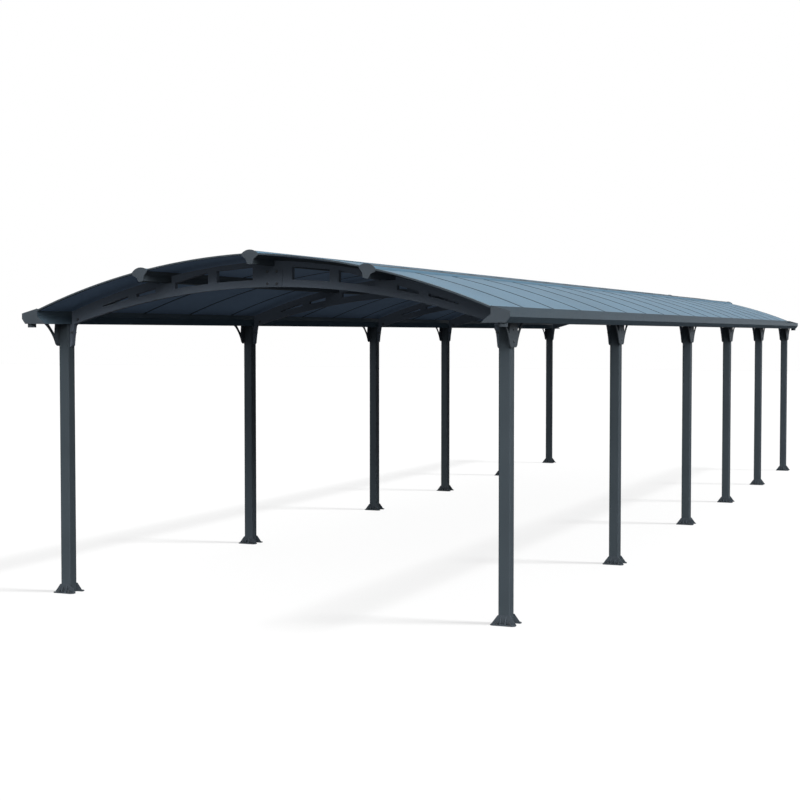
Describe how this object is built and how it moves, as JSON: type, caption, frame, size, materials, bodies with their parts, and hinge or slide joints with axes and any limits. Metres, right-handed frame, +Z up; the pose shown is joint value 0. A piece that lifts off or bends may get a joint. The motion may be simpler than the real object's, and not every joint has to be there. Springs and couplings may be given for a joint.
{
  "type": "carport",
  "caption": "Open carport with an arched see-through panel roof on two rows of posts, pierced arch trusses, gutters and ground feet.",
  "frame": {"origin": "on the floor, in the middle of the plan", "axes": "+X across the width, +Y along the length from the front to the back, +Z up"},
  "size_m": [3.58, 12.788, 2.4128],
  "materials": {
    "frame_metal": "satin dark grey powder coat",
    "moulded_fittings": "fine-grained dark grey moulding",
    "roof_panel": "smoke-blue twin-wall sheet",
    "joiner": "smooth dark profile"
  },
  "bodies": {
    "root": {"post_left_1": "frame_metal", "post_left_2": "frame_metal", "post_left_3": "frame_metal", "post_left_4": "frame_metal", "post_left_5": "frame_metal", "post_left_6": "frame_metal", "feet_left": "moulded_fittings", "braces_left": "moulded_fittings", "gutter_left": "frame_metal", "roof_panels_left_inner": "roof_panel", "panel_joiners_left_inner": "joiner", "roof_panels_left_outer": "roof_panel", "panel_joiners_left_outer": "joiner", "post_right_1": "frame_metal", "post_right_2": "frame_metal", "post_right_3": "frame_metal", "post_right_4": "frame_metal", "post_right_5": "frame_metal", "post_right_6": "frame_metal", "feet_right": "moulded_fittings", "braces_right": "moulded_fittings", "gutter_right": "frame_metal", "roof_panels_right_inner": "roof_panel", "panel_joiners_right_inner": "joiner", "roof_panels_right_outer": "roof_panel", "panel_joiners_right_outer": "joiner", "arch_1": "frame_metal", "arch_2": "frame_metal", "arch_3": "frame_metal", "arch_4": "frame_metal", "arch_5": "frame_metal", "arch_6": "frame_metal", "arch_splice_plates": "frame_metal", "ridge_purlin": "frame_metal", "purlin_left": "frame_metal", "purlin_right": "frame_metal", "purlin_end_caps": "moulded_fittings", "gutter_end_caps": "moulded_fittings", "roof_trim_front": "frame_metal", "roof_trim_back": "frame_metal"}
  },
  "joints": []
}
